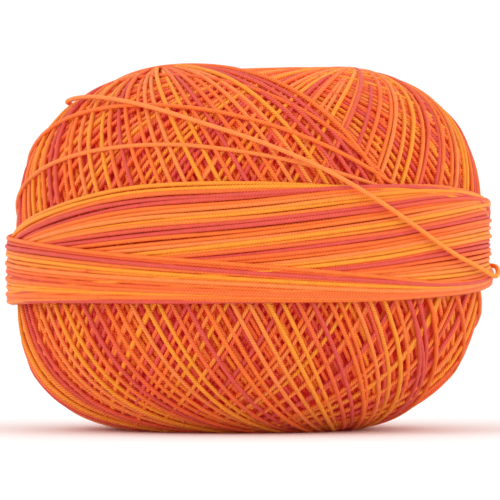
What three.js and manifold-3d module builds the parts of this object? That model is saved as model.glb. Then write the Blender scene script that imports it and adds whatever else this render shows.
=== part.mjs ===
// A machine-wound ball of fine crochet cotton, standing on one end, in millimetres with +Z up.
// The thread is cross-wound round a slowly turning axis, so its runs lie in two slanting families that
// leave a shallow dimple round each pole, and the last turns are wound round the waist as a belt.
// The origin is on the surface that the ball stands on, under its middle. The front is -Y.
import * as THREE from "three";
import { mergeVertices } from "three/addons/utils/BufferGeometryUtils.js";
import Module from "manifold-3d";

const wasm = await Module();
wasm.setup();

const degrees = THREE.MathUtils.degToRad;

// Driving sizes
const THREAD = 0.44; // the thread's diameter
const BALL_R = 23.65; // the winding's outer turns, at the waist
const WAIST = 18.3; // the waist's height above the surface that the ball stands on

// The winding's curve above and below the waist: the half height that it would reach over the pole, how
// square it is (2 is an ellipse), and how far each pole leans to +X for its height
const UPPER = { half: 18.9, fullness: 2.75, lean: 0.06 };
const LOWER = { half: 19.0, fullness: 3.1, lean: 0.08 };

// The cross winding: a run stands for a bundle of two or three turns
const RUNS = 36; // bundles in each slanting family, all round
const SLANT = degrees(66); // angle at which they cross the waist
const RIM_LATITUDE = degrees(62); // where they turn back round the dimple
const UPPER_RUN = 0; // depth of the crossings that lie on top
const LOWER_RUN = 0.25; // and of the points between them along a run
const GROOVE = 0.75; // and of the hollows between the runs
const RIM_BLEND = 6; // how suddenly the hollows close up at the rim: a higher power is later

// The dimple round each pole, from the rim inwards, by its height from the waist
const DIMPLE = [
  { radius: 8.7, height: 18.1 },
  { radius: 7.4, height: 17.4 },
  { radius: 5.9, height: 16.2 },
  { radius: 4.3, height: 15.1 },
];
const DIMPLE_FLOOR = 14.8;

// The belt's two edges by their heights from the waist, at equal steps from the left side round the front
const BELT = [
  { azimuth: -180, lower: -5.6, upper: 1.4 },
  { azimuth: -135, lower: -5.4, upper: 4.3 },
  { azimuth: -90, lower: -5.1, upper: 6.4 },
  { azimuth: -45, lower: -4.8, upper: 5.9 },
  { azimuth: 0, lower: -3.9, upper: 4.2 },
  { azimuth: 45, lower: -4.3, upper: 3.6 },
  { azimuth: 90, lower: -4.9, upper: 3.8 },
  { azimuth: 135, lower: -5.4, upper: 2.6 },
];
const BELT_R = 24.5; // its outer turns
const BELT_FOLLOW = 0.8; // how closely it follows the winding's curve
const BELT_RIDGES = 5; // bundles of turns, from edge to edge
const BELT_GROOVE = 0.3; // depth of the grooves between them
const BELT_SHOULDER = 0.35; // how far its edge turns are below the others
const BELT_SEAT = 22.2; // its hidden inner side
const BELT_UNDERCUT = 0.5; // how far that side is set in from the edges
const BELT_COLUMNS = 96;

// The loose end's route over the front, from the back of the left shoulder down across the belt to a
// small slack loop at the right side. The lift is its middle's distance from the winding's surface.
const LOOSE_END = [
  { azimuth: -212, height: 13.1, lift: 0.5 },
  { azimuth: -201, height: 13.9, lift: 0.5 },
  { azimuth: -189, height: 14.3, lift: 0.5 },
  { azimuth: -176, height: 14.4, lift: 0.5 },
  { azimuth: -163, height: 14.6, lift: 0.5 },
  { azimuth: -149, height: 14.6, lift: 0.5 },
  { azimuth: -136, height: 14.25, lift: 0.5 },
  { azimuth: -124, height: 13.65, lift: 0.5 },
  { azimuth: -113, height: 12.8, lift: 0.5 },
  { azimuth: -102, height: 11.7, lift: 0.5 },
  { azimuth: -91, height: 10.45, lift: 0.5 },
  { azimuth: -82, height: 9.1, lift: 0.65 },
  { azimuth: -75, height: 7.8, lift: 1 },
  { azimuth: -69, height: 6.5, lift: 1.3 },
  { azimuth: -63, height: 5.15, lift: 1.4 },
  { azimuth: -56, height: 3.55, lift: 1.4 },
  { azimuth: -49, height: 1.95, lift: 1.35 },
  { azimuth: -42, height: 0.45, lift: 1.35 },
  { azimuth: -35, height: -0.75, lift: 1.35 },
  { azimuth: -27, height: -1.65, lift: 1.35 },
  { azimuth: -18.5, height: -2.4, lift: 1.35 },
  { azimuth: -12, height: -2.75, lift: 1.38 },
  { azimuth: -7.5, height: -2.75, lift: 1.42 },
  { azimuth: -3.5, height: -2.45, lift: 1.45 },
  { azimuth: 0, height: -2.1, lift: 1.42 },
  { azimuth: 5, height: -1.85, lift: 1.38 },
  { azimuth: 12, height: -1.75, lift: 1.35 },
];
const LOOSE_STEPS = 80;
const LOOSE_SIDES = 8;

// The winding's radius at a height from the waist, and its distance from the middle at a latitude
const curveAt = (side) => (side > 0 ? UPPER : LOWER);
function radiusAt(height) {
  const { half, fullness } = curveAt(height);
  return BALL_R * (1 - Math.abs(height / half) ** fullness) ** (1 / fullness);
}
function reachAt(latitude) {
  const { half, fullness } = curveAt(latitude);
  const across = (Math.cos(latitude) / BALL_R) ** fullness;
  return (across + Math.abs(Math.sin(latitude) / half) ** fullness) ** (-1 / fullness);
}

// The point at a radius, an azimuth and a height from the waist, with the ball's lean
function place(radius, azimuth, height) {
  const { half, lean } = curveAt(height);
  return [
    radius * Math.cos(azimuth) + (lean * height * Math.abs(height)) / half,
    radius * Math.sin(azimuth),
    height + WAIST,
  ];
}

function solid(points, triangles) {
  const geometry = new THREE.BufferGeometry();
  geometry.setAttribute("position", new THREE.Float32BufferAttribute(points.flat(), 3));
  geometry.setIndex(triangles.flat());
  return toManifold(geometry);
}

function toManifold(geometry) {
  const bare = new THREE.BufferGeometry();
  bare.setAttribute("position", geometry.getAttribute("position"));
  bare.setIndex(geometry.index);
  const merged = mergeVertices(bare);
  return new wasm.Manifold(
    new wasm.Mesh({
      numProp: 3,
      vertProperties: new Float32Array(merged.attributes.position.array),
      triVerts: new Uint32Array(merged.index.array),
    }),
  );
}

function geometryOf(manifold) {
  const mesh = manifold.getMesh();
  const geometry = new THREE.BufferGeometry();
  geometry.setAttribute("position", new THREE.BufferAttribute(mesh.vertProperties, 3));
  geometry.setIndex(new THREE.BufferAttribute(mesh.triVerts, 1));
  geometry.computeVertexNormals();
  return geometry;
}

// The cross-wound body. Its rows of points are at the latitudes where the two families cross each
// other, and each row is turned by half a space from the one below, so both families run along its edges.
function winding() {
  const columns = 2 * RUNS;
  const turn = Math.PI / columns;
  const last = Math.floor(Math.asin(Math.tan(RIM_LATITUDE) / Math.tan(SLANT)) / turn);

  const ring = (step, radius, height) =>
    Array.from({ length: columns }, (_, m) => {
      const between = (m + step) % 2 !== 0;
      const fade = 1 - Math.abs(step / last) ** RIM_BLEND;
      const onRun = m % 2 === 0 ? LOWER_RUN : GROOVE;
      const depth = fade * (between ? onRun : UPPER_RUN);
      return place(radius(depth), turn * (2 * m + step), height(depth));
    });

  const rings = [];
  for (let step = -last; step <= last; step++) {
    const latitude = Math.atan(Math.tan(SLANT) * Math.sin(step * turn));
    const reach = reachAt(latitude);
    rings.push(
      ring(
        step,
        (depth) => (reach - depth) * Math.cos(latitude),
        (depth) => (reach - depth) * Math.sin(latitude),
      ),
    );
  }
  for (const { radius, height } of DIMPLE) {
    rings.unshift(ring(-last, () => radius, () => -height));
    rings.push(ring(last, () => radius, () => height));
  }

  const points = [
    ...rings.flat(),
    place(0, 0, -DIMPLE_FLOOR),
    place(0, 0, DIMPLE_FLOOR),
  ];
  const lowPole = points.length - 2;
  const highPole = points.length - 1;
  const top = (rings.length - 1) * columns;
  const triangles = [];
  for (let m = 0; m < columns; m++) {
    const next = (m + 1) % columns;
    for (let row = 0; row < top; row += columns) {
      const [a, b] = [row + m, row + next];
      triangles.push([a, b, a + columns], [b, b + columns, a + columns]);
    }
    triangles.push([next, m, lowPole], [top + m, top + next, highPole]);
  }
  return solid(points, triangles);
}

// The belt: a ring whose outer side has a ridge for each bundle, all fanning between its two edges
function belt() {
  const edges = new THREE.CatmullRomCurve3(
    BELT.map(({ lower, upper }) => new THREE.Vector3(lower, upper, 0)),
    true,
    "catmullrom",
  );
  const rows = 2 * BELT_RIDGES;
  const section = rows + 3;
  const points = [];
  const triangles = [];
  for (let i = 0; i < BELT_COLUMNS; i++) {
    const round = i / BELT_COLUMNS;
    const azimuth = degrees(BELT[0].azimuth) + 2 * Math.PI * round;
    const { x: lower, y: upper } = edges.getPoint(round);
    for (let row = 0; row <= rows; row++) {
      const height = THREE.MathUtils.lerp(lower, upper, row / rows);
      const groove = row % 2 === 0 ? BELT_GROOVE : 0;
      const depth = row % rows === 0 ? BELT_SHOULDER : groove;
      const follow = BELT_FOLLOW * (BALL_R - radiusAt(height));
      points.push(place(BELT_R - follow - depth, azimuth, height));
    }
    points.push(place(BELT_SEAT, azimuth, upper - BELT_UNDERCUT));
    points.push(place(BELT_SEAT, azimuth, lower + BELT_UNDERCUT));

    const here = i * section;
    const beside = ((i + 1) % BELT_COLUMNS) * section;
    for (let j = 0; j < section; j++) {
      const above = (j + 1) % section;
      triangles.push([here + j, beside + j, here + above]);
      triangles.push([beside + j, beside + above, here + above]);
    }
  }
  return solid(points, triangles);
}

// The room under the surface that the ball stands on, which presses its lower rim flat
function below() {
  const side = 4 * BALL_R;
  const box = new THREE.BoxGeometry(side, side, side).translate(0, 0, -side / 2);
  return toManifold(box);
}

// The loose end, as a round cord along its route
function looseEnd() {
  const step = 0.01;
  const route = LOOSE_END.map(({ azimuth, height, lift }) => {
    const slope = (radiusAt(height + step) - radiusAt(height - step)) / (2 * step);
    const outwards = new THREE.Vector2(1, -slope).setLength(lift);
    const radius = radiusAt(height) + outwards.x;
    return new THREE.Vector3(...place(radius, degrees(azimuth), height + outwards.y));
  });
  const circle = new THREE.Shape().absarc(0, 0, THREAD / 2, 0, 2 * Math.PI);
  return new THREE.ExtrudeGeometry(circle, {
    steps: LOOSE_STEPS,
    curveSegments: LOOSE_SIDES / 2,
    bevelEnabled: false,
    extrudePath: new THREE.CatmullRomCurve3(route),
  });
}

const ballCotton = new THREE.MeshStandardMaterial({ color: "#f9702e", roughness: 0.7 });
const endCotton = new THREE.MeshStandardMaterial({ color: "#fb8a3c", roughness: 0.7 });

const body = winding().add(belt()).subtract(below());
const ball = new THREE.Mesh(geometryOf(body), ballCotton);
ball.name = "wound_ball";

const end = new THREE.Mesh(looseEnd(), endCotton);
end.name = "loose_end";

const skein = new THREE.Group();
skein.add(ball, end);

export default skein;
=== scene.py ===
# A machine-wound ball of variegated crochet cotton: a core of earlier turns, the open cross winding over
# it, a few last turns that flatten out, the belt that holds them, and the loose end across the front.
# The turns are laid in the winder's order, each resting on those before it. Lengths are in mm.
import math

import bpy
import numpy as np
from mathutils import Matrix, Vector


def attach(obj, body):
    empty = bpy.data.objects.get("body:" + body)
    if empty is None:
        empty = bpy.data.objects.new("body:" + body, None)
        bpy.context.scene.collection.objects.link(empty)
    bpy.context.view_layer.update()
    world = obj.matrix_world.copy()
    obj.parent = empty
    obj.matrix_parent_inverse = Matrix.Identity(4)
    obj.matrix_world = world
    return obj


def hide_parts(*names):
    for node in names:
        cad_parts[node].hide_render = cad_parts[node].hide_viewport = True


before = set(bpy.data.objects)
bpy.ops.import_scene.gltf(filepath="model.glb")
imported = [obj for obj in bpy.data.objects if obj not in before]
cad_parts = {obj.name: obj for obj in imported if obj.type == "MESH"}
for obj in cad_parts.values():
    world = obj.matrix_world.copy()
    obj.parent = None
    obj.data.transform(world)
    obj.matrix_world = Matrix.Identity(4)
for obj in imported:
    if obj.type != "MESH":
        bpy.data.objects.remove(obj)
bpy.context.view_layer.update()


# Camera
# The photograph looks at the ball's waist from the front, level and from far off, so that the ball
# fills the frame's width and both its ends are seen edge on.
MM = 0.001
SENSOR = 36
FRAME_WIDTH = 50.5  # what the picture's width takes in at the ball's middle
CAMERA_AWAY = 560
CAMERA_AIM = (0.05, 18.1)  # across and up
CAMERA_CLIP = (0.1, 40)  # the nearest and farthest that it sees, as shares of its distance

camera_data = bpy.data.cameras.new("camera")
camera_data.sensor_width = SENSOR
camera_data.lens = SENSOR * CAMERA_AWAY / FRAME_WIDTH
camera_data.clip_start, camera_data.clip_end = (CAMERA_AWAY * MM * share for share in CAMERA_CLIP)
camera = bpy.data.objects.new("camera", camera_data)
camera.location = Vector((CAMERA_AIM[0], -CAMERA_AWAY, CAMERA_AIM[1])) * MM
camera.rotation_euler = (math.pi / 2, 0, 0)
bpy.context.collection.objects.link(camera)
bpy.context.scene.camera = camera


# Thread
# Mercerised crochet cotton: plies twisted hard round each other, then dyed in lengths of coral, orange
# and gold that run into each other. Mercerising gives it a silky sheen, and singeing leaves little fuzz.
THREAD = 0.44  # its diameter
PLIES = 3
PLY_PITCH = 0.95  # the length in which a ply goes once round
PLY_BUMP = 0.07  # how deep the grooves between the plies look at full strength
PLY_SHADE = 0.8  # how bright the bottom of a groove is, beside a ply's top
RIDGE_TOP = 0.8  # the share of a ply's height from which it is fully lit
WOUND_BUMP = 0.8  # the strength of the grooves on thread whose mesh is smooth
STREAKS = (0.88, 1.1)  # how uneven the fibres take the dye
STREAKS_PER_METRE = 900
DYE_REPEAT = 1.12  # metres of thread in which the colours come round again
DYE_DRIFT = 0.2  # how far, in metres, the lengths of colour wander from an even repeat
DRIFTS_PER_METRE = 1.3
DYE = [
    (0.00, "FF8A40"),
    (0.14, "FF9048"),
    (0.18, "FF9A2E"),
    (0.34, "FFA02E"),
    (0.38, "FF8E3C"),
    (0.44, "FC7A34"),
    (0.50, "F4663C"),
    (0.55, "E65848"),
    (0.68, "E8584A"),
    (0.72, "F86A32"),
    (0.78, "FF7A30"),
    (0.96, "FF7E32"),
]
PAINTED_GLOW_COLOUR = "C8202C"  # painted glow: crimson light that the thread gives off itself, standing in for the light that comes through the turns over it
OUTER_GLOW = 0.03  # how much of it the outermost turns show


def linear(colour):
    """An sRGB hex colour as the linear RGBA that Blender's sockets take."""
    parts = [int(colour[i : i + 2], 16) / 255 for i in (0, 2, 4)]
    return [p / 12.92 if p <= 0.04045 else ((p + 0.055) / 1.055) ** 2.4 for p in parts] + [1]


def add(tree, kind, inputs=(), **settings):
    """Adds a node with its settings, and its inputs as plain values or as sockets to link from."""
    node = tree.nodes.new(kind)
    for name, value in settings.items():
        setattr(node, name, value)
    for name, value in dict(inputs).items():
        if isinstance(value, bpy.types.NodeSocket):
            tree.links.new(value, node.inputs[name])
        else:
            node.inputs[name].default_value = value
    return node


def ply_ridge(tree, along, around):
    """How high the plies stand at a place along and an angle round the thread, from 0 to 1."""
    twist = {0: along, 1: 2 * math.pi / (PLY_PITCH * MM), 2: around}
    angle = add(tree, "ShaderNodeMath", twist, operation="MULTIPLY_ADD").outputs[0]
    half = add(tree, "ShaderNodeMath", {0: angle, 1: PLIES / 2}, operation="MULTIPLY").outputs[0]
    wave = add(tree, "ShaderNodeMath", {0: half}, operation="SINE").outputs[0]
    return add(tree, "ShaderNodeMath", {0: wave}, operation="ABSOLUTE").outputs[0]


def dyed_cotton(name, ply_bump, glow):
    """Variegated mercerised cotton: its colour follows the thread, its plies catch the light, and the
    deeper it lies the more painted crimson glow it gives off, standing in for the light that comes through
    the fibres over it."""
    material = bpy.data.materials.new(name)
    material.use_nodes = True
    tree = material.node_tree
    tree.nodes.clear()
    along = add(tree, "ShaderNodeAttribute", attribute_name="along").outputs["Fac"]
    around_x = add(tree, "ShaderNodeAttribute", attribute_name="around_x").outputs["Fac"]
    around_y = add(tree, "ShaderNodeAttribute", attribute_name="around_y").outputs["Fac"]

    # The dye, in lengths that come round again a little unevenly
    wandering = {"W": along, "Scale": DRIFTS_PER_METRE, "Detail": 1.0}
    drift = add(tree, "ShaderNodeTexNoise", wandering, noise_dimensions="1D").outputs["Fac"]
    shift = {0: drift, 1: DYE_DRIFT, 2: along}
    shifted = add(tree, "ShaderNodeMath", shift, operation="MULTIPLY_ADD").outputs[0]
    repeats = add(tree, "ShaderNodeMath", {0: shifted, 1: DYE_REPEAT}, operation="DIVIDE").outputs[0]
    share = add(tree, "ShaderNodeMath", {0: repeats}, operation="FRACT").outputs[0]
    dye = add(tree, "ShaderNodeValToRGB", {"Fac": share})
    stops = dye.color_ramp.elements
    stops.remove(stops[-1])
    stops[0].color = linear(DYE[0][1])
    for place, colour in DYE[1:] + [(1.0, DYE[0][1])]:
        stops.new(place).color = linear(colour)

    # The grooves between the plies are in each other's shade, so their colour is deeper
    around = add(tree, "ShaderNodeMath", {0: around_y, 1: around_x}, operation="ARCTAN2").outputs[0]
    ridge = ply_ridge(tree, along, around)
    shading = {"Value": ridge, "From Max": RIDGE_TOP, "To Min": PLY_SHADE, "To Max": 1.0}
    shade = add(tree, "ShaderNodeMapRange", shading).outputs[0]

    # Fibres take the dye a little unevenly, in streaks a few plies long
    streaking = {"W": along, "Scale": STREAKS_PER_METRE, "Detail": 2.0}
    streak = add(tree, "ShaderNodeTexNoise", streaking, noise_dimensions="1D").outputs["Fac"]
    spread = {"Value": streak, "To Min": STREAKS[0], "To Max": STREAKS[1]}
    uneven = add(tree, "ShaderNodeMapRange", spread).outputs[0]
    value = add(tree, "ShaderNodeMath", {0: shade, 1: uneven}, operation="MULTIPLY").outputs[0]
    dyed = {"Color": dye.outputs["Color"], "Value": value}
    colour = add(tree, "ShaderNodeHueSaturation", dyed).outputs["Color"]

    grooves = {"Height": ridge, "Strength": ply_bump, "Distance": PLY_BUMP * MM}
    normal = add(tree, "ShaderNodeBump", grooves).outputs["Normal"]
    finish = {
        "Base Color": colour,
        "Roughness": 0.55,
        "Specular IOR Level": 0.24,
        # Painted glow: the thread gives off a little crimson light of its own, in place of the light that
        # comes through the fibres over it
        "Emission Color": linear(PAINTED_GLOW_COLOUR),
        "Emission Strength": glow,
        "Normal": normal,
    }
    shader = add(tree, "ShaderNodeBsdfPrincipled", finish)
    add(tree, "ShaderNodeOutputMaterial", {"Surface": shader.outputs[0]})
    return material


RIDGE_MEAN = 0.7  # the share of a ply's height that lies at the thread's plain surface
ENDS_BARE = 0.01  # the share of a strip of the map that is left bare at each end
SIDES_BARE = 0.1  # and along each side
SEAM_STEP = 0.25  # how far apart round the thread two corners of the face over its seam are


def laying_tree():
    """Turns routes into round thread with closed ends. It keeps the angle round the thread on each point
    for the plies, can raise the plies in the mesh, and unrolls each turn as a strip of a map of its own."""
    tree = bpy.data.node_groups.new("lay_thread", "GeometryNodeTree")
    for name, kind in (
        ("Routes", "Geometry"),
        ("Radius", "Float"),
        ("Sides", "Int"),
        ("Ply Depth", "Float"),
        ("Strips", "Int"),
        ("Material", "Material"),
    ):
        tree.interface.new_socket(name, in_out="INPUT", socket_type="NodeSocket" + kind)
    tree.interface.new_socket("Thread", in_out="OUTPUT", socket_type="NodeSocketGeometry")
    given = add(tree, "NodeGroupInput").outputs

    # The thread itself, with each point's share of the way round it
    curve = add(tree, "GeometryNodeMeshToCurve", {"Mesh": given["Routes"]}).outputs["Curve"]
    ring = {"Resolution": given["Sides"], "Radius": given["Radius"]}
    circle = add(tree, "GeometryNodeCurvePrimitiveCircle", ring).outputs["Curve"]
    index = add(tree, "GeometryNodeInputIndex").outputs[0]
    share = add(tree, "ShaderNodeMath", {0: index, 1: given["Sides"]}, operation="DIVIDE").outputs[0]
    kept = {"Geometry": circle, "Name": "round", "Value": share}
    circle = add(tree, "GeometryNodeStoreNamedAttribute", kept, data_type="FLOAT").outputs["Geometry"]
    swept = {"Curve": curve, "Profile Curve": circle, "Fill Caps": True}
    thread = add(tree, "GeometryNodeCurveToMesh", swept).outputs["Mesh"]
    around, along, turn = [
        add(tree, "GeometryNodeInputNamedAttribute", {"Name": name}, data_type="FLOAT").outputs["Attribute"]
        for name in ("round", "along", "turn")
    ]

    # Its plies
    angle = add(tree, "ShaderNodeMath", {0: around, 1: 2 * math.pi}, operation="MULTIPLY").outputs[0]
    for name, part in (("around_x", "COSINE"), ("around_y", "SINE")):
        value = add(tree, "ShaderNodeMath", {0: angle}, operation=part).outputs[0]
        kept = {"Geometry": thread, "Name": name, "Value": value}
        thread = add(tree, "GeometryNodeStoreNamedAttribute", kept, data_type="FLOAT").outputs["Geometry"]
    ridge = ply_ridge(tree, along, angle)
    proud = add(tree, "ShaderNodeMath", {0: ridge, 1: RIDGE_MEAN}, operation="SUBTRACT").outputs[0]
    rise = add(tree, "ShaderNodeMath", {0: proud, 1: given["Ply Depth"]}, operation="MULTIPLY").outputs[0]
    normal = add(tree, "GeometryNodeInputNormal").outputs["Normal"]
    offset = add(tree, "ShaderNodeVectorMath", {0: normal, "Scale": rise}, operation="SCALE").outputs[0]
    thread = add(tree, "GeometryNodeSetPosition", {"Geometry": thread, "Offset": offset}).outputs[0]

    # Its map: a strip for each turn, along by round. A face over the seam counts its start as its end
    face_turn = add(tree, "GeometryNodeFieldOnDomain", {"Value": turn}, domain="FACE").outputs[0]
    strip = add(tree, "ShaderNodeMath", {0: face_turn}, operation="FLOOR").outputs[0]
    travelled = add(tree, "ShaderNodeMath", {0: turn, 1: strip}, operation="SUBTRACT").outputs[0]
    inset = {0: travelled, 1: 1 - 2 * ENDS_BARE, 2: ENDS_BARE}
    across = add(tree, "ShaderNodeMath", inset, operation="MULTIPLY_ADD").outputs[0]
    face_around = add(tree, "GeometryNodeFieldOnDomain", {"Value": around}, domain="FACE").outputs[0]
    behind = add(tree, "ShaderNodeMath", {0: face_around, 1: around}, operation="SUBTRACT").outputs[0]
    seam = add(tree, "ShaderNodeMath", {0: behind, 1: SEAM_STEP}, operation="GREATER_THAN").outputs[0]
    unrolled = add(tree, "ShaderNodeMath", {0: around, 1: seam}, operation="ADD").outputs[0]
    inset = {0: unrolled, 1: 1 - 2 * SIDES_BARE, 2: SIDES_BARE}
    upward = add(tree, "ShaderNodeMath", inset, operation="MULTIPLY_ADD").outputs[0]
    stacked = add(tree, "ShaderNodeMath", {0: strip, 1: upward}, operation="ADD").outputs[0]
    level = add(tree, "ShaderNodeMath", {0: stacked, 1: given["Strips"]}, operation="DIVIDE").outputs[0]
    place = add(tree, "ShaderNodeCombineXYZ", {"X": across, "Y": level}).outputs[0]
    kept = {"Geometry": thread, "Name": "OFBake", "Value": place}
    flat = {"data_type": "FLOAT2", "domain": "CORNER"}
    thread = add(tree, "GeometryNodeStoreNamedAttribute", kept, **flat).outputs["Geometry"]

    smooth = add(tree, "GeometryNodeSetShadeSmooth", {"Geometry": thread}).outputs[0]
    real = add(tree, "GeometryNodeRealizeInstances", {"Geometry": smooth}).outputs[0]
    finish = {"Geometry": real, "Material": given["Material"]}
    made = add(tree, "GeometryNodeSetMaterial", finish).outputs[0]
    add(tree, "NodeGroupOutput", {"Thread": made})
    return tree


lay_thread = laying_tree()
laid_length = 0.0  # metres of thread laid so far, so that the dye runs on from piece to piece


def measured(points, turn):
    """A route: points in mm, with the thread's length up to each in metres, and the turn it is on."""
    global laid_length
    steps = np.linalg.norm(np.diff(points, axis=0), axis=1)
    along = laid_length + np.concatenate([[0], np.cumsum(steps)]) * MM
    laid_length = along[-1]
    return np.column_stack([points, along, turn])


def thread_piece(name, routes, material, sides, ply_depth=0.0):
    """Lays thread along routes, as one plain mesh."""
    points = np.concatenate(routes)
    lengths = np.array([len(route) for route in routes])
    firsts = np.arange(len(points))
    joined = np.ones(len(points), bool)
    joined[np.cumsum(lengths) - 1] = False
    edges = np.column_stack([firsts, firsts + 1])[joined]
    mesh = bpy.data.meshes.new(name)
    mesh.from_pydata(points[:, :3] * MM, edges.tolist(), [])
    for column, attribute in ((3, "along"), (4, "turn")):
        values = mesh.attributes.new(attribute, "FLOAT", "POINT").data
        values.foreach_set("value", points[:, column])
    piece = bpy.data.objects.new(name, mesh)
    maker = piece.modifiers.new("lay_thread", "NODES")
    maker.node_group = lay_thread
    wanted = {
        "Radius": THREAD / 2 * MM,
        "Sides": sides,
        "Ply Depth": ply_depth * MM,
        "Strips": int(points[:, 4].max()) + 1,
        "Material": material,
    }
    for socket in lay_thread.interface.items_tree:
        if socket.name in wanted:
            maker[socket.identifier] = wanted[socket.name]
    bpy.context.collection.objects.link(piece)
    graph = bpy.context.evaluated_depsgraph_get()
    piece.data = bpy.data.meshes.new_from_object(piece.evaluated_get(graph))
    piece.modifiers.remove(maker)
    bpy.data.meshes.remove(mesh)
    piece.data.name = name
    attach(piece, "root")
    return piece


# Ball form
# The winding's outer surface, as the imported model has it: a squarish round that leans a little, with
# different curves above and below the waist. Every turn is laid on it or a set depth under it.
WAIST = 18.3  # height of the waist
BALL_R = 23.65  # the outer turns, at the waist
UPPER = (18.9, 2.75, 0.06)  # half height that the curve would reach, how square it is, and its lean
LOWER = (19.0, 3.1, 0.08)


def curve_at(side):
    """Half height, squareness and lean, from the upper curve where the value is above 0."""
    return np.where(np.asarray(side)[:, None] > 0, UPPER, LOWER).T


def ball_surface(azimuth, latitude):
    """Points of the surface in these directions from the ball's middle, and their outward normals."""
    half, square, _ = curve_at(latitude)
    out, up = np.cos(latitude) / BALL_R, np.abs(np.sin(latitude)) / half
    reach = (out**square + up**square) ** (-1 / square)
    slope_out = (reach * out) ** (square - 1) / BALL_R
    slope_up = (reach * up) ** (square - 1) / half * np.sign(latitude)
    steep = np.hypot(slope_out, slope_up)
    radial = np.column_stack([np.cos(azimuth), np.sin(azimuth), 0 * azimuth])
    upward = np.array([[0, 0, 1]])
    point = (reach * np.cos(latitude))[:, None] * radial + (reach * np.sin(latitude))[:, None] * upward
    normal = (slope_out / steep)[:, None] * radial + (slope_up / steep)[:, None] * upward
    return point, normal


def latitude_at(height):
    """The direction in which the surface has this height from the waist."""
    half, square, _ = curve_at(height)
    return np.arctan2(height, BALL_R * (1 - np.abs(height / half) ** square) ** (1 / square))


def stood(point):
    """Points of the ball with its lean, at its height over the surface that presses its rim flat."""
    half, _, lean = curve_at(point[:, 2])
    shift = lean * point[:, 2] * np.abs(point[:, 2]) / half
    height = np.maximum(point[:, 2] + WAIST, THREAD / 2)
    return np.column_stack([point[:, 0] + shift, point[:, 1], height])


# Loose end
# The thread's last stretch. It comes round the left shoulder, lies across the front and over the belt,
# and turns back in a small slack loop at the right side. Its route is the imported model's.
LOOSE_END = [
    # azimuth, height from the waist, distance of its middle from the winding's surface
    (-212, 13.1, 0.5),
    (-201, 13.9, 0.5),
    (-189, 14.3, 0.5),
    (-176, 14.4, 0.5),
    (-163, 14.6, 0.5),
    (-149, 14.6, 0.5),
    (-136, 14.25, 0.5),
    (-124, 13.65, 0.5),
    (-113, 12.8, 0.5),
    (-102, 11.7, 0.5),
    (-91, 10.45, 0.5),
    (-82, 9.1, 0.65),
    (-75, 7.8, 1),
    (-69, 6.5, 1.3),
    (-63, 5.15, 1.4),
    (-56, 3.55, 1.4),
    (-49, 1.95, 1.35),
    (-42, 0.45, 1.35),
    (-35, -0.75, 1.35),
    (-27, -1.65, 1.35),
    (-18.5, -2.4, 1.35),
    (-12, -2.75, 1.38),
    (-7.5, -2.75, 1.42),
    (-3.5, -2.45, 1.45),
    (0, -2.1, 1.42),
    (5, -1.85, 1.38),
    (12, -1.75, 1.35),
]
LOOSE_STEP = 0.11
LOOSE_SIDES = 18
PLY_DEPTH = 0.08  # from a ply's top to the groove beside it
LOOSE_BUMP = 0.25  # little, because its plies are in the mesh as well
SPAN_STEPS = 60  # places worked out between two knots
LAST_TURN = 0.999  # a route's end stays on its last turn's strip of the map


def eased(share, width, start, start_slope, end, end_slope):
    """Values on a smooth curve between two knots, from their values and slopes."""
    return (
        (1 + 2 * share) * (1 - share) ** 2 * start
        + share * (1 - share) ** 2 * width * start_slope
        + share**2 * (3 - 2 * share) * end
        + share**2 * (share - 1) * width * end_slope
    )


def smooth_line(knots, step):
    """A line through the knots, with even steps."""
    knots = np.vstack([2 * knots[0] - knots[1], knots, 2 * knots[-1] - knots[-2]])
    gaps = np.sqrt(np.linalg.norm(np.diff(knots, axis=0), axis=1))
    times = np.concatenate([[0], np.cumsum(gaps)])
    slopes = np.gradient(knots, times, axis=0)
    share = np.linspace(0, 1, SPAN_STEPS, endpoint=False)[:, None]
    parts = []
    for i in range(1, len(knots) - 2):
        width = times[i + 1] - times[i]
        parts.append(eased(share, width, knots[i], slopes[i], knots[i + 1], slopes[i + 1]))
    line = np.vstack(parts + [knots[-2:-1]])
    run = np.concatenate([[0], np.cumsum(np.linalg.norm(np.diff(line, axis=0), axis=1))])
    even = np.linspace(0, run[-1], int(run[-1] / step) + 1)
    return np.column_stack([np.interp(even, run, line[:, i]) for i in range(3)])


loose_azimuth, loose_height, loose_lift = np.array(LOOSE_END).T
loose_point, loose_normal = ball_surface(np.radians(loose_azimuth), latitude_at(loose_height))
loose_line = smooth_line(stood(loose_point + loose_lift[:, None] * loose_normal), LOOSE_STEP)
loose_route = measured(loose_line, np.linspace(0, LAST_TURN, len(loose_line)))

plied_cotton = dyed_cotton("mercerised_cotton_plied", LOOSE_BUMP, OUTER_GLOW)
loose_end = thread_piece("loose_end_thread", [loose_route], plied_cotton, LOOSE_SIDES, PLY_DEPTH)
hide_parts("loose_end")


# Core
# The many turns under the outer ones, wound so close that they make one round body. It shows only as
#  dark orange deep between the outer turns, with painted shade and a painted crimson glow, and it has the
#  dimple round each pole.
CORE_DEPTH = 2.3  # under the outer surface
CORE_RIM = math.radians(60)
CORE_RINGS = 61
CORE_SIDES = 120
DIMPLE = [(8.3, 15.6), (6.0, 14.9), (3.0, 14.7)]  # radius and height from the waist, both ends alike

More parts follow.
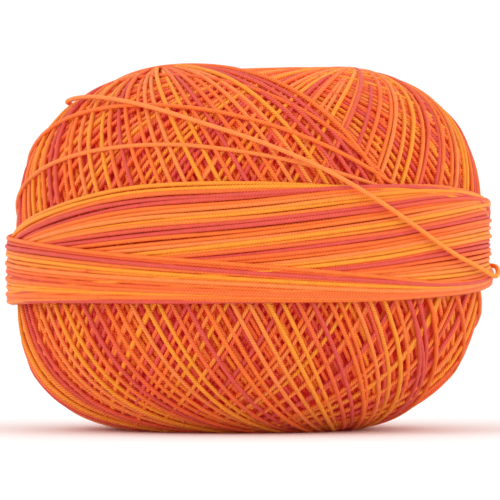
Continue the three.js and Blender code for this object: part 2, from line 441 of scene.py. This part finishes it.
core_azimuths = np.linspace(0, 2 * np.pi, CORE_SIDES, endpoint=False)
core_rings = []
for latitude in np.linspace(-CORE_RIM, CORE_RIM, CORE_RINGS):
    point, normal = ball_surface(core_azimuths, np.full_like(core_azimuths, latitude))
    core_rings.append(point - CORE_DEPTH * normal)
for radius, height in DIMPLE:
    ring = np.column_stack(
        [radius * np.cos(core_azimuths), radius * np.sin(core_azimuths), 0 * core_azimuths + height]
    )
    core_rings.insert(0, ring * (1, 1, -1))
    core_rings.append(ring)
core_poles = np.array([[0, 0, -DIMPLE[-1][1]], [0, 0, DIMPLE[-1][1]]])
core_points = stood(np.vstack(core_rings + [core_poles])) * MM
here = np.arange(CORE_SIDES)
beside = (here + 1) % CORE_SIDES
core_faces = []
for i in range(len(core_rings) - 1):
    low, high = i * CORE_SIDES, (i + 1) * CORE_SIDES
    core_faces += np.column_stack([low + here, low + beside, high + beside, high + here]).tolist()
top_ring = (len(core_rings) - 1) * CORE_SIDES
low_pole, high_pole = len(core_points) - 2, len(core_points) - 1
core_faces += [[b, a, low_pole] for a, b in zip(here.tolist(), beside.tolist())]
core_faces += [[top_ring + a, top_ring + b, high_pole] for a, b in zip(here.tolist(), beside.tolist())]
core_mesh = bpy.data.meshes.new("core")
core_mesh.from_pydata(core_points.tolist(), [], core_faces)
core_mesh.shade_smooth()
core = bpy.data.objects.new("core", core_mesh)
bpy.context.collection.objects.link(core)

# Packed turns: bands as wide as the thread that wander a little, with painted shade between them and
# painted light on their middles,
#  in patches of the dye painted darker as it looks in shade, and a painted crimson glow. They are matt,
#  because no turn stands out to catch the light.
WAVE_PERIOD = 2 * math.pi / 20  # of the wave texture, at a scale of 1
PATCHES_PER_METRE = 160
PATCH_EDGE = (0.4, 0.6)  # the noise over which one dye turns into the other
# the dye's two colours, painted darker as they look in shade
SHADED_PATCH_DYES = ("D8403A", "E45A24")
packed_cotton = bpy.data.materials.new("cotton_packed_turns")
packed_cotton.use_nodes = True
packed = packed_cotton.node_tree
packed.nodes.clear()
where = add(packed, "ShaderNodeTexCoord").outputs["Object"]
winding_bands = {
    "Vector": where,
    "Scale": WAVE_PERIOD / (THREAD * MM),
    "Distortion": 6.0,
    "Detail": 1.0,
    "Detail Scale": 0.1,
}
bands = add(packed, "ShaderNodeTexWave", winding_bands, bands_direction="Z").outputs["Fac"]
dye_patches = {"Vector": where, "Scale": PATCHES_PER_METRE, "Detail": 1.0}
patches = add(packed, "ShaderNodeTexNoise", dye_patches).outputs["Fac"]
shaded_patch_dye = add(packed, "ShaderNodeValToRGB", {"Fac": patches})
for stop, place, colour in zip(shaded_patch_dye.color_ramp.elements, PATCH_EDGE, SHADED_PATCH_DYES):
    stop.position = place
    stop.color = linear(colour)
# Painted shade and light: darker between the bands, where the turns shade each other, lighter on their
# middles
shading = {"Value": bands, "To Min": 0.7, "To Max": 1.1}
shade = add(packed, "ShaderNodeMapRange", shading).outputs[0]
shaded = {"Color": shaded_patch_dye.outputs["Color"], "Value": shade}
rounds = {"Height": bands, "Strength": 0.8, "Distance": THREAD / 2 * MM}
finish = {
    "Base Color": add(packed, "ShaderNodeHueSaturation", shaded).outputs["Color"],
    "Roughness": 0.9,
    # Painted glow: the core gives off crimson light of its own, in place of the light that comes through
    # the turns over it
    "Emission Color": linear(PAINTED_GLOW_COLOUR),
    "Emission Strength": 0.2,
    "Normal": add(packed, "ShaderNodeBump", rounds).outputs["Normal"],
}
shader = add(packed, "ShaderNodeBsdfPrincipled", finish)
add(packed, "ShaderNodeOutputMaterial", {"Surface": shader.outputs[0]})
core_mesh.materials.append(packed_cotton)
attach(core, "root")


# Dimple lining
# Turns of earlier layers that line the dimple round each pole. Each runs nearly straight across it and
# touches a ring round the pole, and the rings get smaller the deeper the turns lie.
LINING = [
    # how big the inner ball was when they were wound, their tilt, turns round the ball
    (0.772, 87.6, 14),
    (0.785, 83, 36),
    (0.81, 79, 40),
    (0.84, 75, 40),
    (0.87, 71.5, 44),
    (0.90, 69, 44),
    (0.93, 66.5, 44),
]
LINING_REACH = 11.5  # from the pole, where the outer turns hide them
LINING_ROOM = 0.3  # between the first and last turn of a set
LINING_SPREAD = 0.7  # radians of a turn to each side of its top
LINING_POINTS = 27
LINING_UNEVEN = (0.3, 1.2)  # how uneven their spacing is, as a share of it, and their tilt
# strength of the lining's painted glow
LINING_GLOW = 0.12
LINING_SIDES = 6
lining_dice = np.random.default_rng(21)
lining_routes = []
for share, tilt, turns in LINING:
    for turn in range(turns):
        top = 2 * math.pi * (turn + lining_dice.uniform(-LINING_UNEVEN[0], LINING_UNEVEN[0])) / turns
        lean = math.radians(tilt + lining_dice.normal(0, LINING_UNEVEN[1]))
        spread = np.linspace(-LINING_SPREAD, LINING_SPREAD, LINING_POINTS)
        latitude = np.arcsin(math.sin(lean) * np.cos(spread))
        azimuth = top + np.arctan2(np.sin(spread), math.cos(lean) * np.cos(spread))
        point, _ = ball_surface(azimuth, latitude)
        point *= share + LINING_ROOM / BALL_R * (turn / turns)
        point = point[np.hypot(point[:, 0], point[:, 1]) < LINING_REACH]
        for side in (-1, 1):
            strip = len(lining_routes) + np.linspace(ENDS_BARE, 1 - ENDS_BARE, len(point))
            lining_routes.append(measured(stood(point * (1, 1, side)), strip))
lining_cotton = dyed_cotton("mercerised_cotton_lining", WOUND_BUMP, LINING_GLOW)
lining = thread_piece("dimple_lining", lining_routes, lining_cotton, LINING_SIDES)


# Cross winding
# The open winding that shows over most of the ball. Each turn is a tilted loop round the ball, and the
# ball turns a little under the guide with each, so the turns cross in diamonds and leave the poles bare.
CELL = 0.1  # of the map of how high the thread lies over the ball's surface
MAP_EDGE = math.radians(80)
ROWS = int(2 * MAP_EDGE * BALL_R / CELL)
row_cells = 2 * math.pi * BALL_R / CELL * np.cos(np.linspace(-MAP_EDGE, MAP_EDGE, ROWS))
row_cells = row_cells.astype(int)
row_starts = np.concatenate([[0], np.cumsum(row_cells)])
NOTHING_LAID = -9.0
thread_top = np.full(row_starts[-1], NOTHING_LAID)
FINE = 0.07  # step in which thread is laid
COARSE = 4  # such steps between the places where its pull is worked out
PULL = 60  # how many times each place is drawn level with its neighbours
TIERS = (0.1, 0.7, 0.4, 1.0)  # where turns crowd, they share out the room that they may climb
PRESSED = 0.38  # the thread's diameter where it is pressed against another
ACROSS = np.linspace(-0.95, 0.95, 7) * PRESSED / 2  # places across the thread
BULGE = np.sqrt((PRESSED / 2) ** 2 - ACROSS**2)  # and its round side's height there
LOOP_R = 22.3  # a loop's mean radius, for the number of its steps


def cells_at(point):
    """The cells of the map of heights in which points of the surface lie."""
    azimuth = np.arctan2(point[:, 1], point[:, 0])
    latitude = np.arctan2(point[:, 2], np.hypot(point[:, 0], point[:, 1]))
    row = ((latitude / MAP_EDGE + 1) / 2 * ROWS).astype(int).clip(0, ROWS - 1)
    column = (azimuth / (2 * math.pi) % 1 * row_cells[row]).astype(int) % row_cells[row]
    return row_starts[row] + column


def lay(azimuth, latitude, lowest, highest, height_before=None):
    """Lays a stretch of thread on what lies there already, pulled taut over it, within two heights of
    its middle from the ball's surface. It returns the thread's points and their heights."""
    point, normal = ball_surface(azimuth, latitude)
    forward = np.gradient(point, axis=0)
    forward /= np.linalg.norm(forward, axis=1)[:, None]
    sideways = np.cross(normal, forward)
    spots = [cells_at(point + u * sideways) for u in ACROSS]
    rest = np.max([thread_top[s] + b for s, b in zip(spots, BULGE)], axis=0).clip(lowest, highest)
    count = len(rest) // COARSE
    rest = rest[: count * COARSE].reshape(count, COARSE).max(axis=1)
    if height_before is not None:
        rest[0] = height_before
    sag = (FINE * COARSE) ** 2 / (2 * BALL_R)
    taut = rest.copy()
    for _ in range(PULL):
        taut[1:-1] = np.maximum(rest[1:-1], (taut[2:] + taut[:-2]) / 2 - sag)
    height = np.interp(np.arange(len(azimuth)) / COARSE, np.arange(count) + 0.5, taut)
    for s, b in zip(spots, BULGE):
        np.maximum.at(thread_top, s, height + b)
    return point + height[:, None] * normal, height


def joined_turns(points, turns, count):
    """One route from the turns laid one after another."""
    turns = np.minimum(np.concatenate(turns), count - 1 + LAST_TURN)
    return measured(stood(np.vstack(points)), turns)


def wind(knots, node, tilt, lowest, room, keep):
    """Winds loops round the ball. The node, where a loop rises through the waist, the loop's tilt and the
    height of the lowest thread's middle are given at knots counted in turns, and room is how far threads
    climb over each other. keep is how many fine steps go into one step of the mesh."""
    first, last = int(knots[0]), int(knots[-1])
    per_turn = int(2 * math.pi * LOOP_R / FINE / keep) * keep
    points, turns = [], []
    height = None
    for turn in range(first, last):
        count = np.linspace(turn, turn + 1, per_turn + 1)
        angle = 2 * np.pi * count
        lean = np.interp(count, knots, tilt)
        latitude = np.arcsin(np.sin(lean) * np.sin(angle))
        azimuth = np.interp(count, knots, node) + np.arctan2(np.cos(lean) * np.sin(angle), np.cos(angle))
        low = np.interp(turn, knots, lowest)
        high = low + room * TIERS[turn % len(TIERS)]
        laid, heights = lay(azimuth, latitude, low, high, height)
        height = heights[-1]
        end = None if turn == last - 1 else -1
        points.append(laid[:end:keep])
        turns.append(count[:end:keep] - first)
    return joined_turns(points, turns, last - first)


WINDING_END = math.radians(134)  # the last loop's node
WINDING = [
    # turns, how far the ball turned meanwhile, first and last tilt, how unevenly the loops tilt, how far
    #     they pair up, sides, fine steps kept as one, strength of the painted glow
    (72, 180, 66, 58, 2.0, 0.1, 6, 16, 0.18),
    (72, 180, 58, 64, 2.0, 0.1, 6, 16, 0.18),
    (76, 180, 64, 57, 1.5, 0.1, 6, 14, 0.15),
    (57, 135, 58, 63, 1.0, 0.14, 8, 14, 0.1),
    (60, 225, 63, 61, 0.6, 0.27, 8, 12, 0.03),
]
WINDING_DEPTH = (2.0, 0.34)  # of the first and the last loop's middle, where it lies lowest
WINDING_ROOM = 0.34  # how far the loops climb over each other
NODE_UNEVEN = 0.12  # how uneven the loops' spacing is, as a share of it
wander = np.random.default_rng(7)
outer_cotton = dyed_cotton("mercerised_cotton_outer_turns", WOUND_BUMP, OUTER_GLOW)
all_turns = sum(row[0] for row in WINDING)
turns_done = 0

for number, row in enumerate(WINDING, 1):
    turns, arc, tilt_1, tilt_2, unsteady, pairing, sides, keep, glow = row
    knots = np.arange(turns + 1)
    uneven = wander.normal(0, NODE_UNEVEN, turns + 1) + pairing * (-1) ** knots
    arc_left = sum(later[1] for later in WINDING[number:])
    node = WINDING_END - np.radians(arc_left + arc * (1 - (knots + uneven) / turns))
    tilt = np.radians(np.linspace(tilt_1, tilt_2, turns + 1) + wander.normal(0, unsteady, turns + 1))
    lowest = -np.interp((turns_done + knots) / all_turns, (0, 1), WINDING_DEPTH)
    turns_done += turns
    route = wind(knots, node, tilt, lowest, WINDING_ROOM, keep)
    cotton = dyed_cotton(f"mercerised_cotton_wound_{number}", WOUND_BUMP, glow)
    winding = thread_piece(f"cross_winding_{number}", [route], cotton, sides)
    if number == 1:
        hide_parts("wound_ball")


# Flattening turns
# The last loops of the cross winding, in which the guide tilts less and less until it winds the belt.
# They lie singly over the diamonds of the ball's upper half.
FLATTENING = [
    # azimuth of the loop's highest point, tilt
    (-162, 62),
    (-151.1, 61.8),
    (-132, 51.6),
    (-122.4, 35.9),
    (-108.9, 24.5),
    (-88.2, 4.5),
]
FLATTENING_LOWEST = (-0.45, 0.1)  # height of the first and the last one's middle, where it lies lowest
OUTER_ROOM = 0.25  # how far the outermost turns climb over each other
OUTER_KEEP = 12
OUTER_SIDES = 8
FLATTENING_DYE = 40.35  # how often the dye has come round before them, so that they begin coral
flat_tops, flat_tilts = np.radians(FLATTENING).T
flat_knots = np.arange(len(FLATTENING)) + 0.25  # a loop is highest a quarter of the way round
flat_knots[0], flat_knots[-1] = 0, len(FLATTENING) - 1
flat_nodes = flat_tops - math.pi / 2
flat_lowest = np.linspace(*FLATTENING_LOWEST, len(FLATTENING))
laid_length = DYE_REPEAT * FLATTENING_DYE
route = wind(flat_knots, flat_nodes, flat_tilts, flat_lowest, OUTER_ROOM, OUTER_KEEP)
flattening = thread_piece("flattening_turns", [route], outer_cotton, OUTER_SIDES)


# Belt
# The finishing turns round the waist, wound side by side. The first ones rise to the right across the
# front, and the last ones cross over them at the left and sink to the right.
BELT_AZIMUTHS = [-180, -150, -120, -90, -60, -40, -20, 0, 60, 120]
BELT = [
    # turns wound so far, heights from the waist at those azimuths
    (0, [0.6, 3.5, 5.9, 6.4, 5.7, 4.9, 3.6, 2.0, -2.5, -3.6]),
    (5, [-1.0, 1.4, 3.7, 4.7, 5.9, 6.0, 5.2, 3.9, -0.5, -3.5]),
    (10.5, [-2.0, 0.2, 1.5, 2.55, 4.1, 5.0, 5.0, 4.3, 1.0, -2.0]),
    (15, [-3.0, -1.8, -0.6, 0.7, 2.3, 3.5, 4.4, 4.6, 3.0, -0.5]),
    (24, [-4.6, -4.0, -3.4, -2.6, -1.2, 0.0, 0.8, 1.1, 1.4, -1.5]),
    (32.5, [-5.4, -5.3, -4.9, -4.5, -4.0, -3.7, -3.2, -2.7, -1.8, -3.2]),
    (33.5, [-5.2, -5.2, -5.15, -5.05, -5.0, -4.65, -4.15, -3.5, -2.5, -4.0]),
    (41.5, [-2.2, -2.9, -3.6, -4.2, -4.6, -4.3, -3.7, -2.9, -2.0, -1.0]),
    (49.5, [1.2, 0.5, -0.7, -1.75, -2.7, -3.4, -3.2, -2.3, 0.0, 2.2]),
]
BELT_START = 90  # azimuth, at the back
BELT_WANDER = 0.06  # how far a turn wanders from its place beside the last one
BELT_WAVES = (2, 5)  # it does so at least and fewer than so many times in a turn
BELT_PHASE = 6.28  # and starts anywhere in the first of these, in radians
BELT_STEPS_R = BALL_R + 0.5  # a turn's radius, for the number of its steps
BELT_PARTS = [
    # name, first turn, turn after the last, the first and last turn's lowest height over the winding
    ("belt_rising", 0, 33, (0.25, 0.45)),
    ("belt_sinking", 33, 50, (0.5, 0.62)),
]
belt_turns = np.array([row[0] for row in BELT], float)
belt_heights = np.array([row[1] for row in BELT])
# The table closed round the ball, with one column more before and after it
belt_heights = np.column_stack([belt_heights[:, -1], belt_heights, belt_heights[:, :2]])
belt_columns = np.array([BELT_AZIMUTHS[-1] - 360, *BELT_AZIMUTHS, 180, BELT_AZIMUTHS[1] + 360], float)


def belt_height(azimuth, turn):
    """Height of the belt's thread at an azimuth in degrees, eased between the table's columns."""
    wrapped = (azimuth + 180) % 360 - 180
    place = np.searchsorted(belt_columns, wrapped, side="right").clip(2, len(belt_columns) - 2)
    table = np.array([np.interp(turn, belt_turns, column) for column in belt_heights.T])
    each = np.arange(len(turn))
    before, start, end, after = [table[place + i, each] for i in (-2, -1, 0, 1)]
    at_before, at_start, at_end, at_after = [belt_columns[place + i] for i in (-2, -1, 0, 1)]
    start_slope = (end - before) / (at_end - at_before)
    end_slope = (after - start) / (at_after - at_start)
    width = at_end - at_start
    return eased((wrapped - at_start) / width, width, start, start_slope, end, end_slope)


def wind_belt(first, last, lowest, room, keep):
    """Winds a stretch of the belt, turn beside turn. lowest is the first and last turn's."""
    per_turn = int(2 * math.pi * BELT_STEPS_R / FINE / keep) * keep
    points, turns = [], []
    height = None
    for turn in range(first, last):
        share = np.linspace(0, 1, per_turn + 1)
        azimuth = BELT_START + 360 * share
        waves = np.radians(azimuth * wander.integers(*BELT_WAVES))
        swing = BELT_WANDER * np.sin(waves + wander.uniform(0, BELT_PHASE))
        level = belt_height(azimuth, turn + share) + swing * np.sin(math.pi * share) ** 2
        low = np.interp(turn, (first, last), lowest)
        high = low + room * TIERS[turn % len(TIERS)]
        laid, heights = lay(np.radians(azimuth), latitude_at(level), low, high, height)
        height = heights[-1]
        end = None if turn == last - 1 else -1
        points.append(laid[:end:keep])
        turns.append((turn - first + share)[:end:keep])
    return joined_turns(points, turns, last - first), height


for name, first, last, lowest in BELT_PARTS:
    route, belt_end = wind_belt(first, last, lowest, OUTER_ROOM, OUTER_KEEP)
    belt = thread_piece(name, [route], outer_cotton, OUTER_SIDES)


# Climb to the loose end
# The same thread at the back: the belt's last turn leaves it, climbs to the left shoulder and goes on as
# the loose end. Its length is counted back from the loose end's start, so that the dye runs on.
CLIMB_STEPS = 400
CLIMB_KEEP = 4
CLIMB_ROOM = 0.35  # how far it may climb over the belt
share = np.linspace(0, 1, CLIMB_STEPS + 1)
_, _, belt_last, (_, belt_top) = BELT_PARTS[-1]
climb_width = loose_azimuth[0] + 360 - BELT_START
last_degree = np.array([-1, 0])
near_end = belt_height(BELT_START + last_degree, belt_last + last_degree / 360)
belt_slope = near_end[1] - near_end[0]
loose_slope = (loose_height[1] - loose_height[0]) / (loose_azimuth[1] - loose_azimuth[0])
climb_height = eased(share, climb_width, near_end[1], belt_slope, loose_height[0], loose_slope)
climb_low = np.linspace(belt_top, loose_lift[0], CLIMB_STEPS + 1)
climb_high = climb_low + CLIMB_ROOM * (1 - share)
climb_azimuth = np.radians(BELT_START + climb_width * share)
climb, _ = lay(climb_azimuth, latitude_at(climb_height), climb_low, climb_high, belt_end)
climb = climb[::CLIMB_KEEP]
route = measured(stood(climb), np.linspace(0, LAST_TURN, len(climb)))
route[:, 3] -= laid_length
climbing = thread_piece("climb_to_loose_end", [route], outer_cotton, OUTER_SIDES)


# Floor and light
# A white table that runs out of sight into a white studio, a broad soft light from the left and another
# from the right.
FLOOR_REACH = 9  # metres to each side
STUDIO_GLOW = 1.05  # of the white walls, which leave only a soft contact shadow
floor_corners = [(x * FLOOR_REACH, y * FLOOR_REACH, 0) for x, y in ((-1, -1), (1, -1), (1, 1), (-1, 1))]
floor_mesh = bpy.data.meshes.new("floor")
floor_mesh.from_pydata(floor_corners, [], [(0, 1, 2, 3)])
floor = bpy.data.objects.new("floor", floor_mesh)
bpy.context.collection.objects.link(floor)
matt_white = bpy.data.materials.new("matt_white_laminate")
matt_white.use_nodes = True
matt = matt_white.node_tree.nodes["Principled BSDF"].inputs
matt["Base Color"].default_value = linear("FBFBFA")
matt["Roughness"].default_value = 0.8
matt["Specular IOR Level"].default_value = 0.1
floor_mesh.materials.append(matt_white)

world = bpy.data.worlds.new("studio")
bpy.context.scene.world = world
world.use_nodes = True
background = world.node_tree.nodes["Background"].inputs
background["Color"].default_value = (1, 1, 1, 1)
background["Strength"].default_value = STUDIO_GLOW
bpy.context.scene.view_settings.view_transform = "Standard"

STUDIO_LIGHTS = [
    # name, place in m, size in m, watts
    ("key", (-0.65, -0.4, 0.4), 0.5, 1.25),
    ("fill", (0.7, -0.25, 0.2), 0.6, 1.4),
]
for name, place, size, watts in STUDIO_LIGHTS:
    lamp = bpy.data.lights.new(name, "AREA")
    lamp.size = size
    lamp.energy = watts
    light = bpy.data.objects.new(name, lamp)
    light.location = place
    aim = Vector((0, 0, WAIST * MM)) - light.location
    light.rotation_euler = aim.to_track_quat("-Z", "Y").to_euler()
    bpy.context.collection.objects.link(light)
